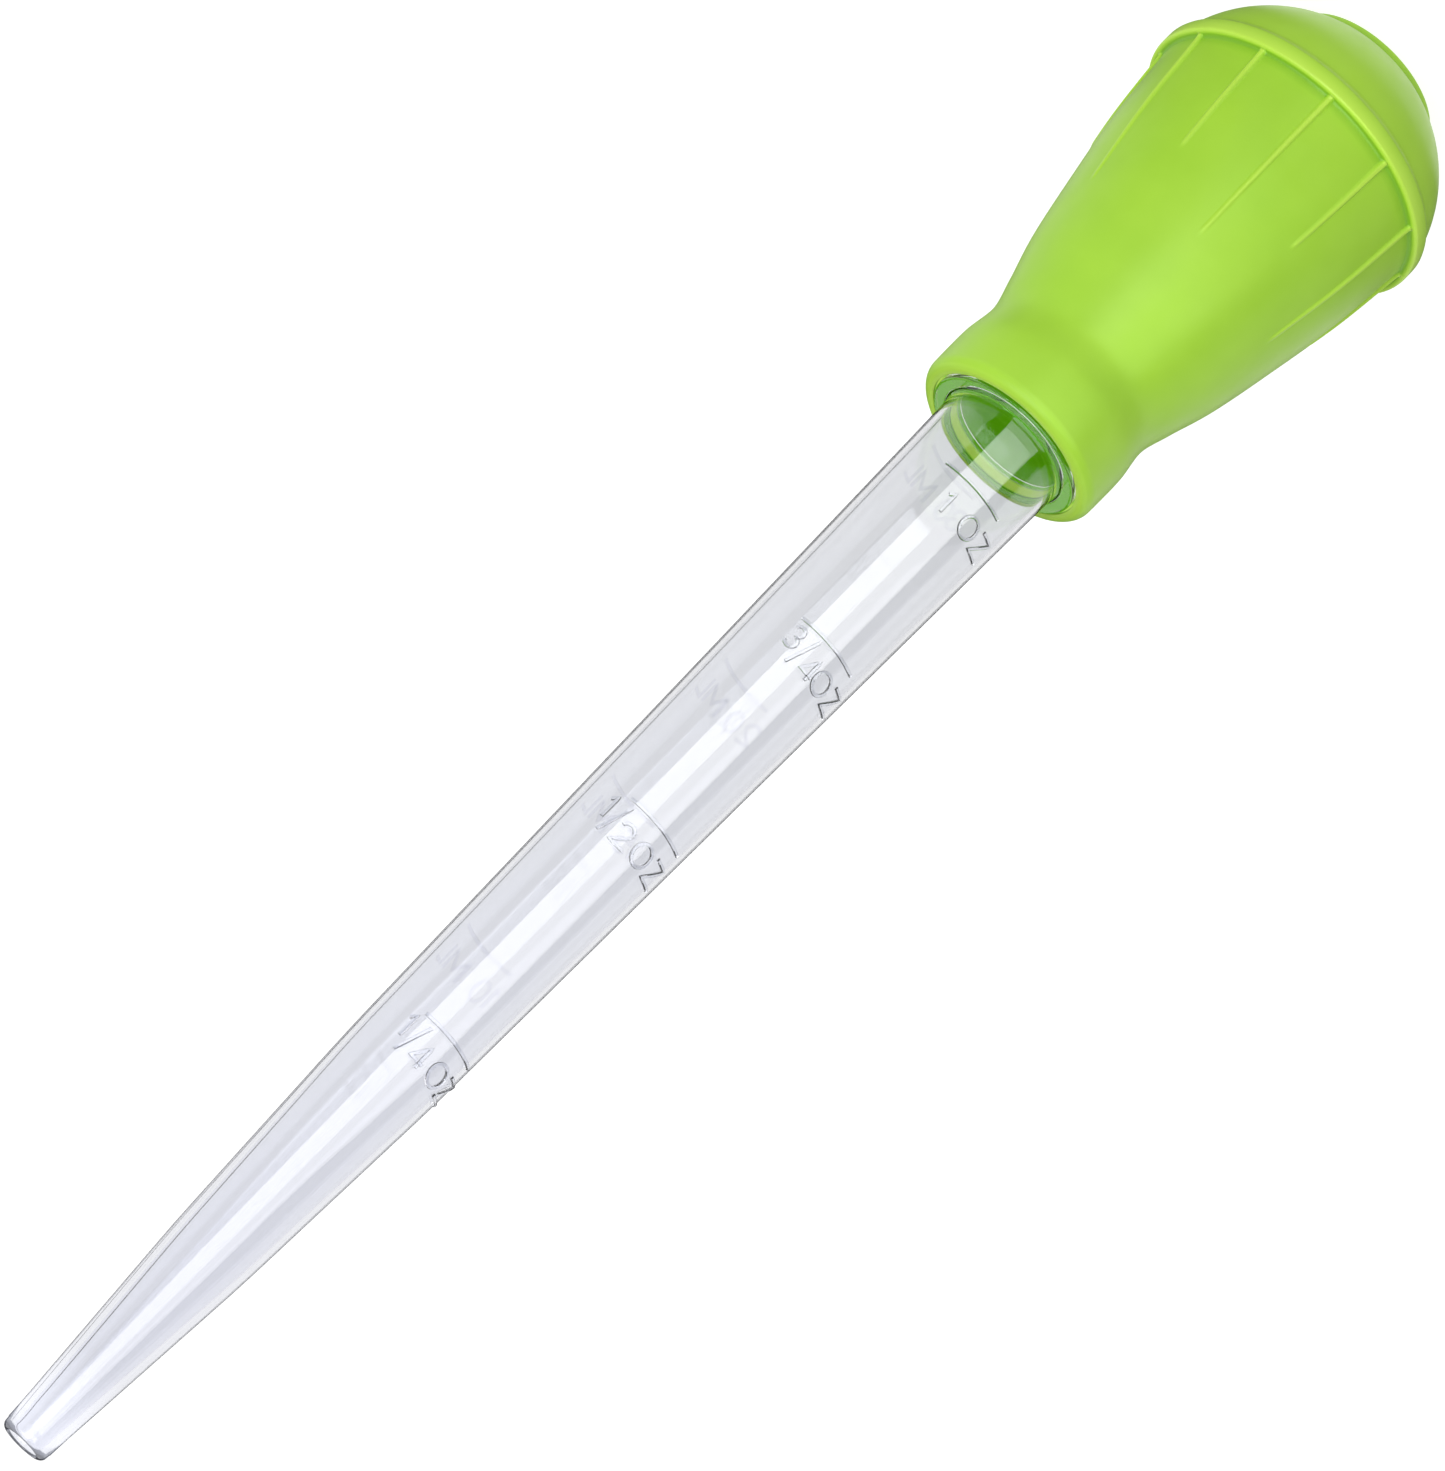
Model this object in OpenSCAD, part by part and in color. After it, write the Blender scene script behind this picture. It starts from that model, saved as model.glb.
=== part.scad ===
// Squeeze-bulb baster: a soft bulb with a ribbed belly on a clear graduated tube.
// It stands on the flat foot of its crown. The axis is Z, and the tube's tip is at the top.

/* [Overall] */
// Overall length, from the foot on the bulb's crown to the tip of the tube
overall_len = 280; // [270:1:300]

/* [Bulb] */
// Length of the bulb, from its foot to the rim of its mouth
bulb_len = 82.5; // [79:0.1:88]
// Outer diameter of the raised band round the bulb
band_od = 49.6; // [48:0.2:52]
// Height of the band along the axis
band_h = 2.8; // [2:0.1:4]
// Step from the band down to the belly
band_step = 1.4; // [0.8:0.1:2]
// Outer diameter of the waist above the mouth cuff
waist_od = 29.5; // [29:0.1:32]
// Outer diameter of the mouth cuff
cuff_od = 30.7; // [30.5:0.1:34]
// Diameter of the flat foot on the crown
foot_od = 26.4; // [22:0.2:28]
// Height of the foot's rim
foot_h = 1.75; // [1:0.05:2.4]
// Wall thickness of the bulb
bulb_wall = 2.6; // [2:0.1:3.2]
// Thickness of the crown behind the foot
crown_wall = 3.2; // [2.4:0.1:4.4]

/* [Ribs] */
// Number of ribs round the belly, long and short in turn
rib_count = 12; // [4:4:16]
// Length of a long rib
long_rib = 28; // [20:1:32]
// Length of a short rib
short_rib = 19; // [10:1:20]
// Width of a rib
rib_w = 0.9; // [0.6:0.1:2]
// Height of a rib where it meets the band
rib_h = 0.45; // [0.3:0.05:1]

/* [Tube] */
// Outer diameter of the tube at its flange, and of the spigot below it
tube_od = 20.5; // [19.6:0.1:21]
// Outer diameter at the tip
tip_od = 7.2; // [7:0.1:8.6]
// Wall thickness of the tube, from the spigot to the first change of taper
tube_wall = 0.8; // [0.7:0.05:1.2]
// Wall thickness of the tube at the second change of taper, near the tip
tip_wall = 1.05; // [0.8:0.05:1.2]
// Diameter of the straight outlet bore in the tip
outlet_d = 5; // [4.4:0.1:5.2]
// Length of the straight outlet bore
outlet_len = 3; // [2:0.5:8]
// Outer diameter of the flange that stops the tube in the mouth
flange_od = 25.4; // [23.6:0.1:25.6]
// Thickness of the flange
flange_t = 2.2; // [1.8:0.1:3]
// Length of the spigot that plugs into the neck
spigot_len = 17; // [12:0.5:20]
// Radial clearance of the spigot in the neck
spigot_gap = 0.06; // [0.02:0.01:0.1]

/* [Scale] */
// Direction that the middle of the quarter ounce line faces
scale_turn = -107.5; // [-180:0.5:180]
// Length of a graduation line round the tube
mark_len = 11.3; // [6:0.1:14]
// Width of a graduation line
mark_w = 0.55; // [0.3:0.05:0.8]
// Height of a graduation line above the tube
mark_h = 0.25; // [0.1:0.05:0.4]

/* [Grips] */
// Width of the two pressed areas of the wall
grip_w = 22; // [14:1:24]
// Height above the foot where a pressed area starts
grip_low = 24; // [23:1:30]
// Height above the foot where a pressed area ends
grip_high = 54; // [44:1:54]
// Gap round a pressed area
grip_gap = 0.3; // [0.2:0.05:0.5]

/* [Hidden] */
$fn = 96;

// Radii
band_r = band_od / 2;
belly_r = band_r - band_step;
waist_r = waist_od / 2;
cuff_r = cuff_od / 2;
foot_r = foot_od / 2;
tube_r = tube_od / 2;
tip_r = tip_od / 2;
outlet_r = outlet_d / 2;
flange_r = flange_od / 2;
neck_r = tube_r + spigot_gap;
seat_r = flange_r + 0.3;
dome_r = band_r - 0.45;
band_shoulder_r = band_r - 0.2;
shoulder_r = 0.743 * tube_r;
taper_r = 0.588 * tube_r;

// Radius of the circle that the middle of the rounded lip follows
lip_r = cuff_r - 1.75;

// Heights above the foot
ledge_z = 19;
dome_z = 20.1;
seat_z = bulb_len - 1.8;
spigot_z = seat_z - spigot_len;
neck_z = spigot_z + 1;
flange_z = seat_z + flange_t;
shoulder_z = 210.4;
taper_z = 245.6;
band_low = ledge_z - band_h;

// Roundings
foot_round = 0.4;
lip_round = 1.7;
seat_round = 0.15;
band_round = 0.6;
flange_round = 0.35;
flange_fillet = 0.6;
spigot_chamfer = 0.3;
tip_round = 0.9;

// Height over which the dome turns up into the band
band_blend = 0.8;

// Angle of the first point of the lip's rounding above the one where it meets the cuff
lip_start = 15;

// A rib starts this far below the ledge, reaches this deep into the wall and loses this share of its height
rib_overlap = 0.2;
rib_depth = 0.6;
rib_fade = 0.9;

// How deep a graduation line reaches into the tube's wall
mark_depth = 0.3;

// The dome is part of an ellipse round a point on the axis, cut off by the foot
dome_h = 22.6;

// Outlines hold [height, radius] pairs from the foot towards the tip.
body_stations = [
    [ledge_z, belly_r],
    [0.389 * bulb_len, belly_r - 1.2],
    [0.532 * bulb_len, belly_r - 3.1],
    [0.662 * bulb_len, belly_r - 5.15],
    [0.754 * bulb_len, waist_r + 1.4],
    [0.825 * bulb_len, waist_r],
    [0.895 * bulb_len, cuff_r - 0.05],
    [0.945 * bulb_len, cuff_r],
    [bulb_len - lip_round, lip_r + lip_round]
];
cavity_stations = [
    [ledge_z, belly_r - bulb_wall],
    [0.389 * bulb_len, belly_r - 1.2 - bulb_wall],
    [0.532 * bulb_len, belly_r - 3.1 - bulb_wall],
    [0.662 * bulb_len, belly_r - 5.15 - bulb_wall],
    [0.73 * bulb_len, neck_r + 2.6],
    [neck_z, neck_r]
];
tube_outline = [
    [flange_z, tube_r],
    [shoulder_z, shoulder_r],
    [taper_z, taper_r],
    [overall_len - tip_round, tip_r]
];

// Distances of the graduation lines from the tip, and how far each is turned from the first
ounce_marks = [76.1, 117.4, 153.3, 185];
ounce_turns = [0, 7, 13.2, 19.5];
millilitre_marks = [92.5, 122.5, 146.6, 192.6];
millilitre_turn = 83.5;

// One point of a smooth curve through b and c, with neighbours a and d
function curve_point(a, b, c, d, u) =
    (2 * b + (c - a) * u + (2 * a - 5 * b + 4 * c - d) * u * u + (3 * b - a - 3 * c + d) * u * u * u) / 2;

// A smooth curve through all the stations, with the given number of steps between two of them
function smooth(p, steps) = let (last = len(p) - 1) concat(
    [for (i = [0 : last - 1], k = [0 : steps - 1])
        curve_point(
            i == 0 ? 2 * p[0] - p[1] : p[i - 1], p[i], p[i + 1],
            i == last - 1 ? 2 * p[last] - p[last - 1] : p[i + 2], k / steps)],
    [p[last]]);

// Points [height, radius] of an arc from angle a to angle b, where 0 points outwards and 90 up
function arc(z, r, size, a, b, steps) =
    [for (k = [0 : steps]) let (t = a + (b - a) * k / steps) [z + size * sin(t), r + size * cos(t)]];

// Points [height, radius] of an ellipse round the dome's centre, from one height to another
function dome(r, h, low_z, high_z, steps) =
    let (low = asin((dome_z - low_z) / h), high = asin((dome_z - high_z) / h))
    [for (k = [0 : steps]) let (t = low + (high - low) * k / steps) [dome_z - h * sin(t), r * cos(t)]];

// Turns [height, radius] pairs into points for rotate_extrude
function turned(p) = [for (q = p) [q[1], q[0]]];

body_outline = smooth(body_stations, 4);
cavity_outline = smooth(cavity_stations, 4);

// The whole bulb moulding as one solid of revolution
module bulb_body() {
    outside = concat(
        [[0, 0]],
        arc(foot_round, foot_r - foot_round, foot_round, -90, 0, 3),
        [[foot_h, foot_r]],
        dome(dome_r, dome_h, foot_h, band_low - band_blend, 12),
        [[band_low + band_round, band_r], [ledge_z - band_round, band_r], [ledge_z, band_shoulder_r]],
        body_outline,
        arc(bulb_len - lip_round, lip_r, lip_round, lip_start, 90, 5),
        arc(bulb_len - seat_round, seat_r + seat_round, seat_round, 90, 180, 4),
        [[seat_z, seat_r], [seat_z, 0]]
    );
    hollow = concat(
        [[crown_wall, 0]],
        dome(belly_r - bulb_wall, dome_h - bulb_wall, crown_wall, ledge_z - 1, 8),
        cavity_outline,
        [[bulb_len, neck_r], [bulb_len, 0]]
    );
    difference() {
        rotate_extrude() polygon(turned(outside));
        rotate_extrude() polygon(turned(hollow));
    }
}

// One rib: a thin fin that stands on the belly and fades out towards the neck
module rib(length) {
    steps = 6;
    heights = [for (k = [0 : steps]) ledge_z - rib_overlap + length * k / steps];
    crest = [for (k = [0 : steps])
        [lookup(heights[k], body_outline) + rib_h * (1 - rib_fade * k / steps), heights[k]]];
    root = [for (k = [steps : -1 : 0]) [lookup(heights[k], body_outline) - rib_depth, heights[k]]];
    rotate([90, 0, 0])
        linear_extrude(rib_w, center = true) polygon(concat(crest, root));
}

module ribs() {
    pitch = 360 / rib_count;
    for (i = [0 : rib_count - 1])
        rotate([0, 0, -90 + pitch / 2 + i * pitch]) rib(i % 2 == 0 ? long_rib : short_rib);
}

module whole_bulb() {
    union() {
        bulb_body();
        ribs();
    }
}

// Block that cuts a pressed area out of the wall on the -Y side, grown by a margin
module grip_block(margin) {
    translate([-grip_w / 2 - margin, -band_r - 1, grip_low - margin])
        cube([grip_w + 2 * margin, band_r - 2, grip_high - grip_low + 2 * margin]);
}

module bulb_shell() {
    color([0.6, 0.83, 0.25]) difference() {
        whole_bulb();
        grip_block(grip_gap);
        rotate([0, 0, 180]) grip_block(grip_gap);
    }
}

module grip_wall_front() {
    color([0.66, 0.88, 0.3]) intersection() {
        whole_bulb();
        grip_block(0);
    }
}

module grip_wall_back() {
    color([0.66, 0.88, 0.3]) intersection() {
        whole_bulb();
        rotate([0, 0, 180]) grip_block(0);
    }
}

// One raised graduation line at a distance from the tip, with its middle at the given angle
module mark(from_tip, turn) {
    z = overall_len - from_tip;
    r = lookup(z, tube_outline);
    sweep = mark_len / r * 180 / PI;
    rotate([0, 0, turn - sweep / 2]) rotate_extrude(angle = sweep)
        translate([r - mark_depth, z - mark_w / 2]) square([mark_depth + mark_h, mark_w]);
}

// The tube with its flange and spigot, one clear moulding with an open bore
module tube() {
    outside = concat(
        [[spigot_z, 0], [spigot_z, tube_r - spigot_chamfer], [spigot_z + spigot_chamfer, tube_r]],
        [[seat_z, tube_r], [seat_z, flange_r]],
        arc(flange_z - flange_round, flange_r - flange_round, flange_round, 0, 90, 5),
        arc(flange_z + flange_fillet, tube_r + flange_fillet, flange_fillet, -90, -180, 3),
        [tube_outline[1], tube_outline[2]],
        arc(overall_len - tip_round, tip_r - tip_round, tip_round, 0, 90, 4),
        [[overall_len, 0]]
    );
    bore = [
        [spigot_z - 1, 0],
        [spigot_z - 1, tube_r - tube_wall],
        [flange_z, tube_r - tube_wall],
        [shoulder_z, shoulder_r - tube_wall],
        [taper_z, taper_r - tip_wall],
        [overall_len - outlet_len, outlet_r],
        [overall_len + 1, outlet_r],
        [overall_len + 1, 0]
    ];
    color([0.86, 0.88, 0.93, 0.5]) difference() {
        union() {
            rotate_extrude() polygon(turned(outside));
            for (i = [0 : len(ounce_marks) - 1]) mark(ounce_marks[i], scale_turn + ounce_turns[i]);
            for (d = millilitre_marks) mark(d, millilitre_turn);
        }
        rotate_extrude() polygon(turned(bore));
    }
}

tube();
bulb_shell();
grip_wall_front();
grip_wall_back();
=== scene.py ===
import math

import bmesh
import bpy
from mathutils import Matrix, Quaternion, Vector


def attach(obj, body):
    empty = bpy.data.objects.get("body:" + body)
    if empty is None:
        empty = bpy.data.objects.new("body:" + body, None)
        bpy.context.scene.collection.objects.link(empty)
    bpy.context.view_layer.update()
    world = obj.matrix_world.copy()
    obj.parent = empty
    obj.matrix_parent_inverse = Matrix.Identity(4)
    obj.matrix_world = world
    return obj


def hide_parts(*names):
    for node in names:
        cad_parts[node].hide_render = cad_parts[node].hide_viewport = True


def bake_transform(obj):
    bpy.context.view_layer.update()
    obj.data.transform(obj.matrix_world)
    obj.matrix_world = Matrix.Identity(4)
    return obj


# A squeeze-bulb baster: a ribbed silicone bulb on a clear graduated tube. It stands on its crown, with
# its axis on Z and the tip up. Lengths are in millimetres until a mesh is made, angles in degrees.

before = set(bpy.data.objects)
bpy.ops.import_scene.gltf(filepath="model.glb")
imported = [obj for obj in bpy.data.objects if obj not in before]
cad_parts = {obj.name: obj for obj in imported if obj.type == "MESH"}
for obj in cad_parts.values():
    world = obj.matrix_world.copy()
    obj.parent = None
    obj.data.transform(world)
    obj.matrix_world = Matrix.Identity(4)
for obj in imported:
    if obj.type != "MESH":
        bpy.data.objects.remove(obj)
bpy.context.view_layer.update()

MM = 0.001

# Camera
CAMERA_AZIMUTH = 11.5
CAMERA_ELEVATION = 20.87
CAMERA_DISTANCE = 693.0
CAMERA_LENS = 123.48
CAMERA_ROLL = -135.49
CAMERA_AIM_HEIGHT = 143.8
CAMERA_SIDESTEP = 0.45

# Bulb: heights above the foot, and radii
BULB_TOP = 82.5
FOOT_R, FOOT_H, FOOT_ROUND = 13.2, 1.75, 0.4
LEDGE_Z = 19.0
DOME_Z, DOME_R, DOME_H = 20.1, 24.35, 22.6
BAND_R, BAND_LOW, BAND_ROUND = 24.8, 16.2, 0.6
BELLY_R = 23.4
WALL, CROWN_WALL = 2.6, 3.2
LIP_R, LIP_ROUND = 13.6, 1.7
SEAT_R, SEAT_Z, SEAT_ROUND = 13.0, 80.7, 0.15
NECK_R, NECK_Z = 10.31, 64.7
BODY = [(19, 23.4), (32.1, 22.2), (43.87, 20.3), (54.65, 18.25), (62.22, 16.15), (68.06, 14.75),
        (73.8, 15.3), (77.8, 15.35), (80.8, 15.3)]
HOLLOW = [(z, r - WALL) for z, r in BODY[:4]] + [(60.1, NECK_R + WALL), (NECK_Z, NECK_R)]

# Painted light: how much painted shade, painted highlight or painted glow the bulb's material puts on a row
# of its section
EDGE, CREASE, MOUTH, LIT_SEAT_WALL = 1.0, -0.8, 2.0, 3.0

# Ribs: the first long one's direction, and the sizes where a rib leaves the band
RIB_TURN, RIB_PITCH = -75.0, 30.0
RIB_LONG, RIB_SHORT = 28.4, 19.4
RIB_W, RIB_H, RIB_SOFT = 1.4, 0.5, 0.5

# The shares of its width, height and painted highlight that a rib loses on its way, and the share of its
# length it ends in
RIB_NARROWS, RIB_SINKS, RIB_FADES, RIB_ENDS = 0.25, 0.7, 0.4, 0.06

# Tube
TUBE_R, TUBE_WALL, TIP_WALL = 10.25, 0.8, 1.05
SPIGOT_Z = 63.7
FLANGE_R, FLANGE_Z, FLANGE_ROUND, FLANGE_FILLET = 12.7, 82.9, 0.35, 0.6
TUBE_TOP, TIP_R, TIP_ROUND, OUTLET_R, OUTLET_LEN = 280.0, 3.6, 0.9, 2.5, 3.0
OUTLINE = [(FLANGE_Z, TUBE_R), (210.4, 7.62), (245.6, 6.03), (TUBE_TOP - TIP_ROUND, TIP_R)]

# Raised scales: distance from the tip, direction of the line's middle, then the number and the unit, each
# with the place along the line where it starts
OUNCES = [(76.1, -107.5, ("1/4", -7.0), ("OZ", 0.05)), (117.4, -100.5, ("1/2", -7.8), ("OZ", -0.65)),
          (153.3, -94.3, ("3/4", -5.45), ("OZ", 1.35)), (185.0, -88.0, ("1", -2.3), ("OZ", 1.6))]
MILLILITRES = [(92.5, 83.5, ("10", -6.6), ("ML", -0.4)), (122.5, 83.5, ("15", -6.6), ("ML", -0.4)),
               (146.6, 83.5, ("20", -7.4), ("ML", -0.4)), (192.6, 83.5, ("30", -7.0), ("ML", -0.4))]
LINE_LEN, LINE_W = 11.3, 0.55
STROKE_W, STROKE_SUNK = 0.55, 0.02
OUNCE_H, MILLILITRE_H = 0.28, 0.1
LETTER_H, LETTER_GAP = 3.5, 2.8

# Studio, in metres. Cards stand round the object and shape the tube's reflections. Their edges are
# (height, degrees from the camera) points.
CARD_TALL = 0.3
STRIP_LEFT = [(0, 16), (CARD_TALL, 21)]
STRIP_RIGHT = [(0, -42), (0.049, -44), (0.18, -58), (0.2, -50), (0.215, -40), (CARD_TALL, -38)]
DARK_LEFT = [(0, 78), (0.036, 76), (0.042, 17), (CARD_TALL, 21)]
DARK_RIGHT = [(0, -66), (0.18, -80), (CARD_TALL, -68)]
GREY_LEFT = [(0, 40), (CARD_TALL, 38)]
SKY_STRENGTH = 0.72

# The dark rim card behind the object, and the window in it, through which the flange's face reflects the
# pale card behind
RIM_RADIUS, RIM_SHADE = 0.067, 0.02
RIM_FIRST, RIM_LAST = 140, 220
WINDOW_FIRST, WINDOW_LAST, WINDOW_LOW, WINDOW_HIGH = 166.5, 193.5, 0.102, 0.127


# ---------------------------------------------------------------- outlines

def curve(points, steps):
    """A smooth line through (height, radius) points."""
    ends = [tuple(2 * a - b for a, b in zip(points[0], points[1]))]
    ends += list(points)
    ends += [tuple(2 * a - b for a, b in zip(points[-1], points[-2]))]
    out = []
    for a, b, c, d in zip(ends, ends[1:], ends[2:], ends[3:]):
        for k in range(steps):
            u = k / steps
            out.append(tuple(
                (2 * q + (r - p) * u + (2 * p - 5 * q + 4 * r - s) * u * u
                 + (3 * q - p - 3 * r + s) * u ** 3) / 2
                for p, q, r, s in zip(a, b, c, d)))
    return out + [tuple(points[-1])]


def arc(z, r, size, start, end, steps):
    """Points of an arc round (z, r), where 0 points outwards and 90 up."""
    out = []
    for k in range(steps + 1):
        t = math.radians(start + (end - start) * k / steps)
        out.append((z + size * math.sin(t), r + size * math.cos(t)))
    return out


def dome(r, h, low, high, steps):
    """Points of the crown's ellipse between two heights."""
    a, b = math.asin((DOME_Z - low) / h), math.asin((DOME_Z - high) / h)
    turns = [a + (b - a) * k / steps for k in range(steps + 1)]
    return [(DOME_Z - h * math.sin(t), r * math.cos(t)) for t in turns]


def lerp_outline(points, z):
    """Radius of a (height, radius) line at a height."""
    for (za, ra), (zb, rb) in zip(points, points[1:]):
        if z <= zb:
            return ra + (rb - ra) * (z - za) / (zb - za)
    return points[-1][1]


def smoothstep(x):
    """0 below 0, 1 above 1, and an eased rise between."""
    x = min(max(x, 0.0), 1.0)
    return x * x * (3 - 2 * x)


# ---------------------------------------------------------------- meshes

def new_object(name, verts, faces, material, smooth=True, sharp=None):
    """A mesh object from millimetre points. sharp lists the indices of faces whose rim is a hard edge."""
    mesh = bpy.data.meshes.new(name)
    mesh.from_pydata([tuple(c * MM for c in v) for v in verts], [], faces)
    mesh.validate()
    work = bmesh.new()
    work.from_mesh(mesh)
    work.faces.ensure_lookup_table()
    hard = [work.faces[i] for i in (sharp or [])]
    for face in work.faces:
        face.smooth = smooth
    for face in hard:
        face.smooth = False
        for edge in face.edges:
            edge.smooth = False
    bmesh.ops.recalc_face_normals(work, faces=work.faces)
    work.to_mesh(mesh)
    work.free()
    mesh.materials.append(material)
    thing = bpy.data.objects.new(name, mesh)
    bpy.context.scene.collection.objects.link(thing)
    return thing


def rib_rise(z, polar):
    """Height of the ribs above the belly, and how much of a full rib that is."""
    if z < LEDGE_Z - 0.01:
        return 0.0, 0.0
    number = round((polar - RIB_TURN) / RIB_PITCH)
    length = RIB_LONG if number % 2 == 0 else RIB_SHORT
    along = (z - LEDGE_Z) / length
    if along >= 1:
        return 0.0, 0.0
    off = abs(math.radians(polar - RIB_TURN - number * RIB_PITCH)) * lerp_outline(BODY, z)
    width = RIB_W * (1 - RIB_NARROWS * along)
    side = smoothstep((width / 2 - off) / RIB_SOFT)
    end = smoothstep((1 - along) / RIB_ENDS)
    share = side * end
    return RIB_H * (1 - RIB_SINKS * along) * share, share * (1 - RIB_FADES * along)


def half_columns():
    """Angles over half a turn, close together at the ribs and at the two ends."""
    near = [0, 0.2, 0.4, 0.65, 0.9, 1.15, 1.4, 1.7, 2.1, 3.0, 4.4, 6, 8, 10, 12, 13.6]
    turns = set()
    for rib in range(6):
        middle = RIB_PITCH / 2 + rib * RIB_PITCH
        for a in near:
            turns.update((round(middle - a, 3), round(middle + a, 3)))
        turns.add(rib * RIB_PITCH)
    turns.update((0.3, 0.7, 179.3, 179.7, 180.0))
    return sorted(turns)


def bulb_rows():
    """The bulb's section from the middle of the foot, over the outside, back to the middle of the hollow.
    Each row holds its height, its radius, whether ribs stand on it and its painted light: above 0 a painted
    highlight on raised edges, below 0 painted shade on the foot and in creases, 2 a painted glow inside the
    mouth, for the light that comes through, and 3 a paler painted glow on the seat's wall, standing for the
    light that falls on it."""
    rows = []

    def add(points, ribbed=False, painted_light=0.0):
        rows.extend((z, r, ribbed, painted_light) for z, r in points)

    # The foot's disc and wall get painted shade, and the rounding between them a faint painted highlight.
    add([(0, 0), (0, 6), (0, 11)], painted_light=-0.2)
    add(arc(FOOT_ROUND, FOOT_R - FOOT_ROUND, FOOT_ROUND, -90, 0, 5), painted_light=0.1)
    add([(FOOT_H - 0.3, FOOT_R), (FOOT_H - 0.05, FOOT_R + 0.08), (FOOT_H, FOOT_R + 0.3)], painted_light=-0.5)
    # The dome and the band get painted highlights, strongest on the ledge's rounded edge.
    add(dome(DOME_R, DOME_H, FOOT_H + 0.05, BAND_LOW - 0.6, 34), painted_light=0.2)
    add([(BAND_LOW - 0.3, DOME_R - 0.2), (BAND_LOW, BAND_R - 0.5)], painted_light=0.35)
    add([(BAND_LOW + 0.2, BAND_R - 0.16), (BAND_LOW + BAND_ROUND, BAND_R)], painted_light=0.3)
    add([(BAND_LOW + 1.4, BAND_R)], painted_light=0.6)
    add(arc(LEDGE_Z - 0.45, BAND_R - 0.45, 0.45, 0, 90, 5), painted_light=EDGE)
    # The ledge's face and the hollow under it get painted shade.
    add([(LEDGE_Z, BELLY_R + 0.5)], painted_light=-0.6)
    add([(LEDGE_Z + 0.05, BELLY_R + 0.2), (LEDGE_Z + 0.2, BELLY_R + 0.03)], ribbed=True, painted_light=CREASE)
    add([(LEDGE_Z + 0.6, BELLY_R - 0.04)], ribbed=True, painted_light=-0.35)
    add([p for p in curve(BODY, 24) if p[0] > LEDGE_Z + 1.2], ribbed=True)
    # The lip's shoulder and crest get painted highlights.
    lip = arc(BULB_TOP - LIP_ROUND, LIP_R, LIP_ROUND, 10, 90, 10)
    side, shoulder, crest = lip[:5], lip[5:8], lip[8:]
    add(side)
    add(shoulder, painted_light=0.2)
    add(crest, painted_light=0.5)
    # The seat's rounding gets a painted highlight. The seat's wall, its floor and the inside of the mouth get
    # a painted glow, for the light that comes through the silicone.
    add(arc(BULB_TOP - SEAT_ROUND, SEAT_R + SEAT_ROUND, SEAT_ROUND, 90, 180, 4)[1:], painted_light=0.7)
    add([(SEAT_Z + 1.3, SEAT_R), (SEAT_Z + 0.25, SEAT_R)], painted_light=LIT_SEAT_WALL)
    add([(SEAT_Z, SEAT_R - 0.25), (SEAT_Z, NECK_R + 0.3)], painted_light=2.15)
    add([(SEAT_Z - 0.3, NECK_R), (77, NECK_R), (73, NECK_R), (69, NECK_R)], painted_light=MOUTH)
    add(list(reversed(curve(HOLLOW, 8))), painted_light=MOUTH)
    add(list(reversed(dome(BELLY_R - WALL, DOME_H - WALL, CROWN_WALL, LEDGE_Z - 1, 12))), painted_light=MOUTH)
    add([(CROWN_WALL, 0)], painted_light=MOUTH)
    return rows


def half_bulb(name, side, material):
    """Half of the hollow bulb, a closed solid. side is -1 for the half on -Y and 1 for the half on +Y."""
    start = -180.0 if side < 0 else 0.0
    turns = [start + t for t in half_columns()]
    verts, painted_light_values, index = [], [], []
    for z, r, ribbed, painted_light in bulb_rows():
        line = []
        for polar in ([turns[0]] if r == 0 else turns):
            rise, share = rib_rise(z, polar) if ribbed else (0.0, 0.0)
            angle = math.radians(polar)
            line.append(len(verts))
            verts.append(((r + rise) * math.cos(angle), (r + rise) * math.sin(angle), z))
            # A rib's crest takes the painted highlight of a raised edge, fading along the rib.
            painted_light_values.append(painted_light + (1 - painted_light) * share if share > 0 else painted_light)
        index.append(line)
    faces = []
    for a, b in zip(index, index[1:]):
        for k in range(len(turns) - 1):
            if len(a) == 1:
                faces.append((a[0], b[k], b[k + 1]))
            elif len(b) == 1:
                faces.append((a[k], b[0], a[k + 1]))
            else:
                faces.append((a[k], b[k], b[k + 1], a[k + 1]))
    caps = [len(faces), len(faces) + 1]
    faces.append([line[0] for line in index])
    faces.append([line[-1] for line in reversed(index)])
    half = new_object(name, verts, faces, material, sharp=caps)
    # Each point keeps its painted light for the bulb's material.
    kept = half.data.attributes.new("painted_light", "FLOAT", "POINT")
    kept.data.foreach_set("value", painted_light_values)
    return half


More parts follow.
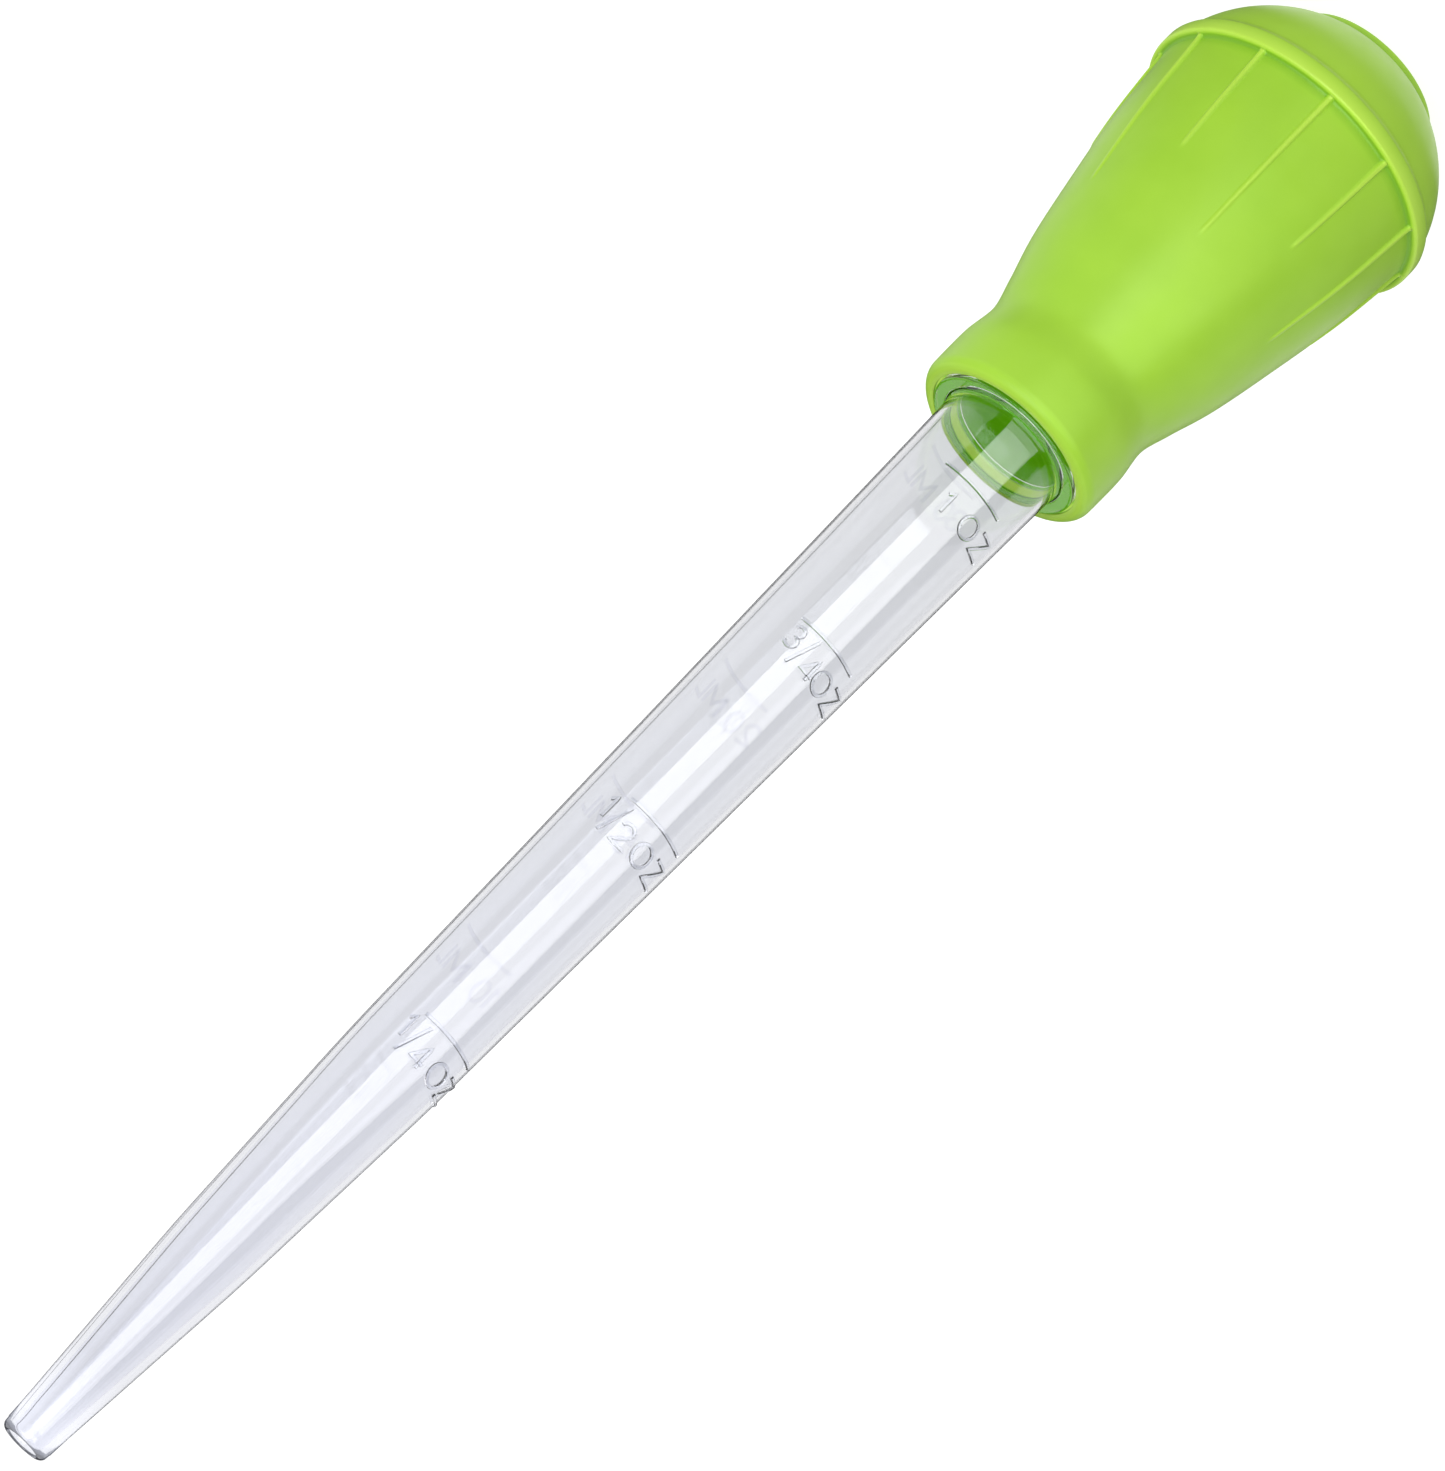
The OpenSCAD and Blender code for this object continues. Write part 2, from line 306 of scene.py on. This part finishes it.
def tube_section():
    """The tube's closed section, up the outside and back down the bore."""
    out = [(SPIGOT_Z, TUBE_R - 0.5), (SPIGOT_Z + 0.12, TUBE_R - 0.15), (SPIGOT_Z + 0.4, TUBE_R)]
    out += [(SPIGOT_Z + 4, TUBE_R), (SPIGOT_Z + 10, TUBE_R), (SEAT_Z - 0.2, TUBE_R), (SEAT_Z, TUBE_R + 0.2)]
    out += [(SEAT_Z, FLANGE_R - 0.2), (SEAT_Z + 0.06, FLANGE_R - 0.06), (SEAT_Z + 0.2, FLANGE_R)]
    out += arc(FLANGE_Z - FLANGE_ROUND, FLANGE_R - FLANGE_ROUND, FLANGE_ROUND, 0, 90, 8)
    out += [(FLANGE_Z, FLANGE_R - FLANGE_ROUND - 0.06), (FLANGE_Z, TUBE_R + FLANGE_FILLET + 0.06)]
    out += arc(FLANGE_Z + FLANGE_FILLET, TUBE_R + FLANGE_FILLET, FLANGE_FILLET, -90, -180, 8)
    out += shaft(OUTLINE, 86.0, TUBE_TOP - TIP_ROUND - 0.4)
    out += arc(TUBE_TOP - TIP_ROUND, TIP_R - TIP_ROUND, TIP_ROUND, 0, 90, 8)
    out += [(TUBE_TOP - 0.08, OUTLET_R + 0.06), (TUBE_TOP - 0.3, OUTLET_R), (TUBE_TOP - 1.6, OUTLET_R)]
    walls = (TUBE_WALL, TUBE_WALL, TIP_WALL)
    bore = [(z, r - wall) for (z, r), wall in zip(OUTLINE, walls)] + [(TUBE_TOP - OUTLET_LEN, OUTLET_R)]
    out += list(reversed(shaft(bore, 90.0, TUBE_TOP - OUTLET_LEN - 0.6)))
    out += [(FLANGE_Z, TUBE_R - TUBE_WALL), (SPIGOT_Z + 6, TUBE_R - TUBE_WALL)]
    out += [(SPIGOT_Z + 0.3, TUBE_R - TUBE_WALL), (SPIGOT_Z, TUBE_R - TUBE_WALL + 0.3)]
    return out


def shaft(points, low, high):
    """Rows of the tapering shaft, with its changes of taper eased over a few millimetres."""
    rows, z, ease, step = [], low, 4.0, 2.5
    while z < high:
        near = [lerp_outline(points, z + ease * k / 4) for k in range(-4, 5)]
        rows.append((z, sum(near) / len(near)))
        z += step
    rows.append((high, lerp_outline(points, high)))
    return rows


def clear_tube(material):
    """The tube as one closed moulding."""
    around = 224
    section = tube_section()
    verts, faces = [], []
    for z, r in section:
        for k in range(around):
            angle = 2 * math.pi * k / around
            verts.append((r * math.cos(angle), r * math.sin(angle), z))
    rows = len(section)
    for i in range(rows):
        for k in range(around):
            a, b = i * around, (i + 1) % rows * around
            n = (k + 1) % around
            faces.append((a + k, b + k, b + n, a + n))
    return new_object("clear_tube", verts, faces, material)


# ---------------------------------------------------------------- raised figures

def bow(x, y, rx, ry, start, end, steps=10):
    """Part of an ellipse, counted from the right, anticlockwise."""
    turns = [math.radians(start + (end - start) * k / steps) for k in range(steps + 1)]
    return [(x + rx * math.cos(t), y + ry * math.sin(t)) for t in turns]


def glyph(letter):
    """(advance, strokes) of a character that is 1 high. A stroke that ends where it starts is a ring."""
    if letter == "0":
        return 0.78, [bow(0.3, 0.5, 0.29, 0.5, 0, 360, 24)]
    if letter == "1":
        return 0.46, [[(0.02, 0.8), (0.24, 1.0), (0.24, 0.5), (0.24, 0.0)]]
    if letter == "2":
        top = bow(0.33, 0.7, 0.3, 0.3, 165, -40, 12)
        return 0.9, [top + [(0.3, 0.26), (0.02, 0.0), (0.35, 0.0), (0.72, 0.0)]]
    if letter == "3":
        return 0.66, [bow(0.27, 0.75, 0.23, 0.25, 160, -90) + bow(0.27, 0.25, 0.27, 0.25, 90, -160)]
    if letter == "4":
        slope = [(0.62, 0.24), (0.3, 0.24), (0.0, 0.24), (0.24, 0.62)]
        return 0.78, [slope + [(0.46, 1.0), (0.46, 0.5), (0.46, 0.0)]]
    if letter == "5":
        return 0.8, [[(0.56, 1.0), (0.12, 1.0), (0.06, 0.56)] + bow(0.28, 0.3, 0.29, 0.3, 120, -150, 12)]
    if letter == "/":
        return 0.6, [[(0.0, -0.04), (0.24, 0.73), (0.48, 1.5)]]
    if letter == "O":
        return 1.1, [bow(0.45, 0.5, 0.43, 0.5, 0, 360, 30)]
    if letter == "Z":
        top = [(0.04, 1.0), (0.45, 1.0), (0.86, 1.0), (0.45, 0.5)]
        return 1.0, [top + [(0.02, 0.0), (0.45, 0.0), (0.9, 0.0)]]
    if letter == "M":
        left = [(0.04, 0.0), (0.04, 0.5), (0.04, 1.0), (0.5, 0.3)]
        return 1.2, [left + [(0.96, 1.0), (0.96, 0.5), (0.96, 0.0)]]
    if letter == "L":
        return 0.8, [[(0.04, 1.0), (0.04, 0.5), (0.04, 0.0), (0.35, 0.0), (0.66, 0.0)]]


def stroke_section(width, h):
    """The raised section across a stroke: (across, height), with rounded shoulders."""
    w = width / 2
    return [(-w, -STROKE_SUNK), (-w, h * 0.45), (-w + 0.04, h * 0.8), (-w + 0.12, h), (w - 0.12, h),
            (w - 0.04, h * 0.8), (w, h * 0.45), (w, -STROKE_SUNK)]


def on_tube(across, along, height, middle, line_z):
    """A point on the tube: across runs clockwise seen from the tip, along runs from the line to the tip."""
    z = line_z + along
    r = lerp_outline(OUTLINE, z)
    angle = math.radians(middle) - across / r
    return ((r + height) * math.cos(angle), (r + height) * math.sin(angle), z)


def finer(points, step):
    """The same line with no two points further apart than step."""
    out = [points[0]]
    for (xa, ya), (xb, yb) in zip(points, points[1:]):
        if math.hypot(xb - xa, yb - ya) < 1e-4:
            continue
        parts = max(1, math.ceil(math.hypot(xb - xa, yb - ya) / step))
        out += [(xa + (xb - xa) * k / parts, ya + (yb - ya) * k / parts) for k in range(1, parts + 1)]
    return out


def add_stroke(verts, faces, points, width, rise, middle, line_z):
    """Sweeps the raised section along a line of (across, along) points, mitred at its corners."""
    ring = math.dist(points[0], points[-1]) < 1e-6
    points = finer(points, 0.5)
    if ring:
        points = points[:-1]
    count, section = len(points), stroke_section(width, rise)
    first = len(verts)
    for i, (x, y) in enumerate(points):
        before = points[i - 1] if ring or i > 0 else None
        after = points[(i + 1) % count] if ring or i < count - 1 else None
        normals = []
        for a, b in ((before, (x, y)), ((x, y), after)):
            if a and b:
                dx, dy = b[0] - a[0], b[1] - a[1]
                size = math.hypot(dx, dy)
                normals.append((-dy / size, dx / size))
        nx, ny = sum(n[0] for n in normals) / len(normals), sum(n[1] for n in normals) / len(normals)
        grow = 1 / max(nx * nx + ny * ny, 0.3)
        for off, height in section:
            verts.append(on_tube(x + nx * grow * off, y + ny * grow * off, height, middle, line_z))
    size = len(section)
    for i in range(count if ring else count - 1):
        a, b = first + i * size, first + (i + 1) % count * size
        for k in range(size):
            n = (k + 1) % size
            faces.append((a + k, b + k, b + n, a + n))
    if not ring:
        faces.append([first + k for k in range(size)])
        faces.append([first + (count - 1) * size + k for k in reversed(range(size))])


def scale(name, marks, rise, material):
    """The raised lines and figures of one scale, as separate closed ridges. Letters' tops face the bulb."""
    verts, faces = [], []
    for from_tip, middle, *words in marks:
        line_z = TUBE_TOP - from_tip
        half = LINE_LEN / 2
        add_stroke(verts, faces, [(-half, 0), (0, 0), (half, 0)], LINE_W, rise, middle, line_z)
        foot = LETTER_GAP + LETTER_H
        for text, pen in words:
            slash = text.find("/")
            for place, letter in enumerate(text):
                advance, strokes = glyph(letter)
                drop = -0.5 * LETTER_H if place < slash else 0.0
                for stroke in strokes:
                    line = [(pen + x * LETTER_H, foot + drop - y * LETTER_H) for x, y in stroke]
                    add_stroke(verts, faces, line, STROKE_W, rise, middle, line_z)
                pen += advance * LETTER_H
    return new_object(name, verts, faces, material, smooth=False)


# ---------------------------------------------------------------- materials

def srgb(red, green, blue):
    """A colour given as 0 to 255 on screen, as the linear values that shaders take."""
    shares = [c / 255 for c in (red, green, blue)]
    linear = [c / 12.92 if c <= 0.04045 else ((c + 0.055) / 1.055) ** 2.4 for c in shares]
    return (*linear, 1.0)


def grey(level):
    """A neutral colour of one linear level."""
    return (level, level, level, 1.0)


def new_material(name):
    """A material with its node tree and its Principled shader."""
    mat = bpy.data.materials.new(name)
    mat.use_nodes = True
    tree = mat.node_tree
    shader = next(n for n in tree.nodes if n.type == "BSDF_PRINCIPLED")
    return mat, tree, shader


def noise(tree, lumps, detail=2.0, stretch=(1, 1, 1)):
    """A noise in the object's own space, with so many lumps in a metre."""
    where = tree.nodes.new("ShaderNodeTexCoord")
    squeeze = tree.nodes.new("ShaderNodeMapping")
    squeeze.inputs["Scale"].default_value = stretch
    pattern = tree.nodes.new("ShaderNodeTexNoise")
    pattern.inputs["Scale"].default_value = lumps
    pattern.inputs["Detail"].default_value = detail
    tree.links.new(where.outputs["Object"], squeeze.inputs["Vector"])
    tree.links.new(squeeze.outputs["Vector"], pattern.inputs["Vector"])
    return pattern.outputs["Fac"]


def height_in(tree):
    """A socket with the height above the foot, in metres."""
    where = tree.nodes.new("ShaderNodeTexCoord")
    parts = tree.nodes.new("ShaderNodeSeparateXYZ")
    tree.links.new(where.outputs["Object"], parts.inputs["Vector"])
    return parts.outputs["Z"]


def remap(tree, value, low, high, to_low, to_high):
    """A value moved from one range to another, and kept inside it."""
    node = tree.nodes.new("ShaderNodeMapRange")
    for key, number in zip(("From Min", "From Max", "To Min", "To Max"), (low, high, to_low, to_high)):
        node.inputs[key].default_value = number
    tree.links.new(value, node.inputs["Value"])
    return node.outputs["Result"]


def mix(tree, factor, first, second):
    """A blend of two colours, each a colour or a socket."""
    node = tree.nodes.new("ShaderNodeMix")
    node.data_type = "RGBA"
    tree.links.new(factor, node.inputs[0])
    for socket, colour in ((node.inputs[6], first), (node.inputs[7], second)):
        if isinstance(colour, tuple):
            socket.default_value = colour
        else:
            tree.links.new(colour, socket)
    return node.outputs[2]


def bump(tree, shader, value, strength, distance, under=None):
    """Relief on the shader's surface. distance is in metres, and under is another relief it lies on."""
    node = tree.nodes.new("ShaderNodeBump")
    node.inputs["Strength"].default_value = strength
    node.inputs["Distance"].default_value = distance
    tree.links.new(value, node.inputs["Height"])
    if under:
        tree.links.new(under, node.inputs["Normal"])
    tree.links.new(node.outputs["Normal"], shader.inputs["Normal"])
    return node.outputs["Normal"]


def silicone():
    """Lime green silicone rubber: a satin skin, faint clouds in the dye, painted highlights on raised edges,
    painted shade in creases, and a painted glow inside the mouth, where light comes through the wall."""
    mat, tree, shader = new_material("lime_silicone")
    clouds = remap(tree, noise(tree, 70, 3), 0.35, 0.65, 0, 1)
    body = mix(tree, clouds, srgb(150, 200, 41), srgb(157, 206, 47))
    painted_light = tree.nodes.new("ShaderNodeAttribute")
    painted_light.attribute_name = "painted_light"
    # Painted shade: rows below 0 go towards a deep green on the foot, the ledge's face and the creases.
    painted_shade = remap(tree, painted_light.outputs["Fac"], -1, 0, 0.85, 0)
    # Painted highlight: rows above 0 go towards a pale yellow green on the dome, the band, the ledge's edge,
    # the ribs, the lip and the seat's rounding.
    edge = remap(tree, painted_light.outputs["Fac"], 0, EDGE, 0, 0.75)
    # Painted glow: inside the mouth the base goes to a darker green that glows, for the light that comes
    # through the wall.
    inside = remap(tree, painted_light.outputs["Fac"], EDGE, MOUTH, 0, 1)
    seat = remap(tree, painted_light.outputs["Fac"], MOUTH, LIT_SEAT_WALL, 0, 1)
    colour = mix(tree, painted_shade, body, srgb(96, 158, 10))
    colour = mix(tree, edge, colour, srgb(186, 226, 74))
    tree.links.new(mix(tree, inside, colour, srgb(100, 170, 4)), shader.inputs["Base Color"])
    tree.links.new(remap(tree, noise(tree, 240, 3), 0.3, 0.7, 0.36, 0.44), shader.inputs["Roughness"])
    tree.links.new(remap(tree, inside, 0, 1, 0, 0.4), shader.inputs["Emission Strength"])
    # The painted glow is paler and yellower on the seat's wall, standing for the light that falls on it.
    tree.links.new(mix(tree, seat, (0.16, 0.6, 0.0, 1), (0.95, 1.3, 0.2, 1)),
                   shader.inputs["Emission Color"])
    shader.inputs["IOR"].default_value = 1.42
    shader.inputs["Specular IOR Level"].default_value = 0.55
    shader.inputs["Sheen Weight"].default_value = 0.08
    shader.inputs["Sheen Roughness"].default_value = 0.4
    soft = bump(tree, shader, noise(tree, 60, 2), 0.25, 0.0006)
    bump(tree, shader, noise(tree, 3200, 2), 0.12, 0.00006, soft)
    return mat


def faint_plastic():
    """The far scale's plastic. It barely bends the light, so that its ridges stay as faint as they look."""
    mat, tree, shader = new_material("faint_plastic")
    tree.links.new(mix(tree, noise(tree, 90, 2), srgb(243, 243, 247), srgb(248, 248, 251)),
                   shader.inputs["Base Color"])
    tree.links.new(remap(tree, noise(tree, 420, 2), 0.3, 0.7, 0.02, 0.05), shader.inputs["Roughness"])
    shader.inputs["IOR"].default_value = 1.06
    shader.inputs["Specular IOR Level"].default_value = 0.2
    shader.inputs["Transmission Weight"].default_value = 1.0
    return mat


def clear_plastic():
    """Clear moulded plastic: neutral by the flange and cooler towards the tip, with faint flow marks along
    the tube. The tip's inner faces glow a little, for the light that runs in the wall."""
    mat, tree, shader = new_material("clear_plastic")
    height = height_in(tree)
    up = remap(tree, height, 0.1, 0.25, 0, 1)
    flow = noise(tree, 60, 2, (1, 1, 0.08))
    tint = mix(tree, up, srgb(236, 237, 240), srgb(236, 237, 244))
    paler = mix(tree, up, srgb(240, 241, 243), srgb(240, 241, 245))
    tree.links.new(mix(tree, flow, tint, paler), shader.inputs["Base Color"])
    tree.links.new(remap(tree, noise(tree, 420, 2), 0.3, 0.7, 0.01, 0.035), shader.inputs["Roughness"])
    side = tree.nodes.new("ShaderNodeNewGeometry")
    rim = remap(tree, height, 0.266, 0.277, 0, 0.09)
    glow = tree.nodes.new("ShaderNodeMath")
    glow.operation = "MULTIPLY"
    tree.links.new(side.outputs["Backfacing"], glow.inputs[0])
    tree.links.new(rim, glow.inputs[1])
    tree.links.new(glow.outputs["Value"], shader.inputs["Emission Strength"])
    shader.inputs["Emission Color"].default_value = (0.85, 0.88, 1, 1)
    shader.inputs["IOR"].default_value = 1.49
    shader.inputs["Transmission Weight"].default_value = 1.0
    bump(tree, shader, flow, 0.02, 0.0004)
    return mat


def paper_floor():
    """Matt white paper, with a trace of fibre."""
    mat, tree, shader = new_material("paper_floor")
    fibre = noise(tree, 180, 3)
    tree.links.new(mix(tree, fibre, grey(0.26), grey(0.29)), shader.inputs["Base Color"])
    shader.inputs["Roughness"].default_value = 0.9
    shader.inputs["Emission Color"].default_value = (1, 1, 1, 1)
    shader.inputs["Emission Strength"].default_value = 0.9
    return mat


# ---------------------------------------------------------------- studio

def towards(azimuth, elevation=0.0):
    """The direction from the object to where an azimuth and elevation put the camera."""
    a, e = math.radians(azimuth), math.radians(elevation)
    return Vector((math.sin(a) * math.cos(e), -math.cos(a) * math.cos(e), math.sin(e)))


def add_camera():
    """The camera, aimed near the object's middle and rolled to lay it along the picture's diagonal."""
    back = towards(CAMERA_AZIMUTH, CAMERA_ELEVATION)
    side = towards(CAMERA_AZIMUTH - 90) * CAMERA_SIDESTEP
    aim = Vector((0, 0, CAMERA_AIM_HEIGHT)) + side
    camera = bpy.data.objects.new("camera", bpy.data.cameras.new("camera"))
    camera.data.lens = CAMERA_LENS
    camera.data.sensor_width = 36
    camera.data.clip_start, camera.data.clip_end = 0.01, 100
    camera.location = (aim + back * CAMERA_DISTANCE) * MM
    camera.rotation_mode = "QUATERNION"
    roll = Quaternion((0, 0, 1), math.radians(CAMERA_ROLL))
    camera.rotation_quaternion = (-back).to_track_quat("-Z", "Y") @ roll
    bpy.context.scene.collection.objects.link(camera)
    bpy.context.scene.camera = camera


def panel(name, azimuth, distance, height, width, tall, radiance):
    """A soft light turned to the bulb's mouth. azimuth is in degrees, and radiance is its brightness. The
    other measures are in metres."""
    lamp = bpy.data.lights.new(name, "AREA")
    lamp.shape = "RECTANGLE"
    lamp.size, lamp.size_y = width, tall
    lamp.energy = radiance * math.pi * width * tall
    thing = bpy.data.objects.new(name, lamp)
    thing.location = towards(azimuth) * distance + Vector((0, 0, height))
    thing.rotation_mode = "QUATERNION"
    ray = Vector((0, 0, BULB_TOP * MM)) - thing.location
    thing.rotation_quaternion = ray.to_track_quat("-Z", "Y")
    bpy.context.scene.collection.objects.link(thing)


def stage_card(thing, through):
    """Stages a card that is seen only in gloss, or with through also by way of the clear plastic."""
    thing.visible_camera = False
    thing.visible_diffuse = False
    thing.visible_shadow = False
    thing.visible_transmission = through


def upright(angle):
    """A card's edge that keeps one direction from the floor to the top."""
    return [(0, angle), (CARD_TALL, angle)]


def card(name, radius, first, last, shade, glow=(0.0, 0.0), low=0.0, high=CARD_TALL, through=True):
    """An upright curved card round the axis. first and last are its edges. shade is its own grey, and glow
    its brightness at the floor and at CARD_TALL. low and high are the heights of its lower and upper edges.
    through says whether it also shows through the tube, and not only in its gloss."""
    mat, tree, shader = new_material(name)
    tree.links.new(remap(tree, height_in(tree), 0, CARD_TALL, *glow), shader.inputs["Emission Strength"])
    grain = noise(tree, 40, 2)
    tree.links.new(mix(tree, grain, grey(shade), (shade * 1.1, shade * 1.1, shade * 1.15, 1)),
                   shader.inputs["Base Color"])
    shader.inputs["Roughness"].default_value = 0.8
    shader.inputs["Specular IOR Level"].default_value = 0.0
    shader.inputs["Emission Color"].default_value = (1, 1, 1, 1)
    columns, rows, verts, faces = 24, 30, [], []
    for i in range(rows + 1):
        up = low + (high - low) * i / rows
        left, right = lerp_outline(first, up), lerp_outline(last, up)
        for k in range(columns + 1):
            place = towards(CAMERA_AZIMUTH + left + (right - left) * k / columns) * radius
            verts.append((place.x / MM, place.y / MM, up / MM))
    for i in range(rows):
        for k in range(columns):
            a = i * (columns + 1) + k
            faces.append((a, a + 1, a + columns + 2, a + columns + 1))
    stage_card(new_object(name, verts, faces, mat), through)


def floor_card(inner, outer):
    """A dark ring just above the floor, between two radii in metres, seen only in the object's gloss."""
    mat, tree, shader = new_material("floor_card")
    grain = noise(tree, 40, 2)
    tree.links.new(mix(tree, grain, grey(0.02), grey(0.03)), shader.inputs["Base Color"])
    shader.inputs["Specular IOR Level"].default_value = 0.0
    around = 72
    turns = [2 * math.pi * k / around for k in range(around)]
    verts = [(r / MM * math.cos(t), r / MM * math.sin(t), -0.1) for r in (inner, outer) for t in turns]
    faces = []
    for k in range(around):
        n = (k + 1) % around
        faces.append((k, n, n + around, k + around))
    stage_card(new_object("floor_card", verts, faces, mat), False)


def add_studio():
    """The sky, the paper floor, two soft lights and the cards."""
    scene = bpy.context.scene
    scene.view_settings.view_transform = "Standard"
    world = bpy.data.worlds.new("studio")
    world.use_nodes = True
    sky = next(n for n in world.node_tree.nodes if n.type == "BACKGROUND")
    sky.inputs["Color"].default_value = (1, 1, 1, 1)
    sky.inputs["Strength"].default_value = SKY_STRENGTH
    scene.world = world
    reach, below = 12 / MM, -0.2
    corners = [(-reach, -reach, below), (reach, -reach, below), (reach, reach, below), (-reach, reach, below)]
    floor = new_object("floor", corners, [(0, 1, 2, 3)], paper_floor())
    floor.visible_diffuse = False
    panel("key_light", CAMERA_AZIMUTH + 22, distance=0.8, height=1.1, width=0.8, tall=0.8, radiance=3.4)
    panel("fill_light", CAMERA_AZIMUTH + 14, distance=0.9, height=0.15, width=0.6, tall=0.3, radiance=2.8)
    card("bright_card", 0.12, STRIP_LEFT, STRIP_RIGHT, shade=0.8, glow=(3.2, 2.2), low=0.031)
    card("dark_card", 0.125, DARK_LEFT, DARK_RIGHT, shade=0.02)
    card("grey_card", 0.127, GREY_LEFT, STRIP_LEFT, shade=0.0, glow=(0.12, 0.12))
    card("back_card", 0.07, upright(110), upright(250), shade=0.0, glow=(0.9, 1.0))
    card("edge_card", 0.064, upright(153), upright(157), shade=0.05)
    rims = (("rim_left", RIM_FIRST, WINDOW_FIRST, 0, CARD_TALL),
            ("rim_right", WINDOW_LAST, RIM_LAST, 0, CARD_TALL),
            ("rim_low", WINDOW_FIRST, WINDOW_LAST, 0, WINDOW_LOW),
            ("rim_high", WINDOW_FIRST, WINDOW_LAST, WINDOW_HIGH, CARD_TALL))
    for name, first, last, low, high in rims:
        card(name, RIM_RADIUS, upright(first), upright(last), RIM_SHADE, low=low, high=high, through=False)
    floor_card(inner=0.022, outer=0.14)


# ---------------------------------------------------------------- the object

def build():
    """The bulb's two halves, in place of the part file's bulb shell and pressed walls, then the tube and its
    scales.
    """
    lime = silicone()
    clear = clear_plastic()
    halves = (("bulb_half_front", -1, "grip_front", "grip_wall_front"),
              ("bulb_half_back", 1, "grip_back", "grip_wall_back"))
    for name, side, body, node in halves:
        half = half_bulb(name, side, lime)
        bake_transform(half)
        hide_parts("bulb_shell", node)
    tube = clear_tube(clear)
    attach(tube, "tube")
    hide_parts("tube")
    scales = (("ounce_scale", OUNCES, OUNCE_H, clear),
              ("millilitre_scale", MILLILITRES, MILLILITRE_H, faint_plastic()))
    for name, marks, rise, plastic in scales:
        ridges = scale(name, marks, rise, plastic)
        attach(ridges, "tube")


add_camera()
add_studio()
build()
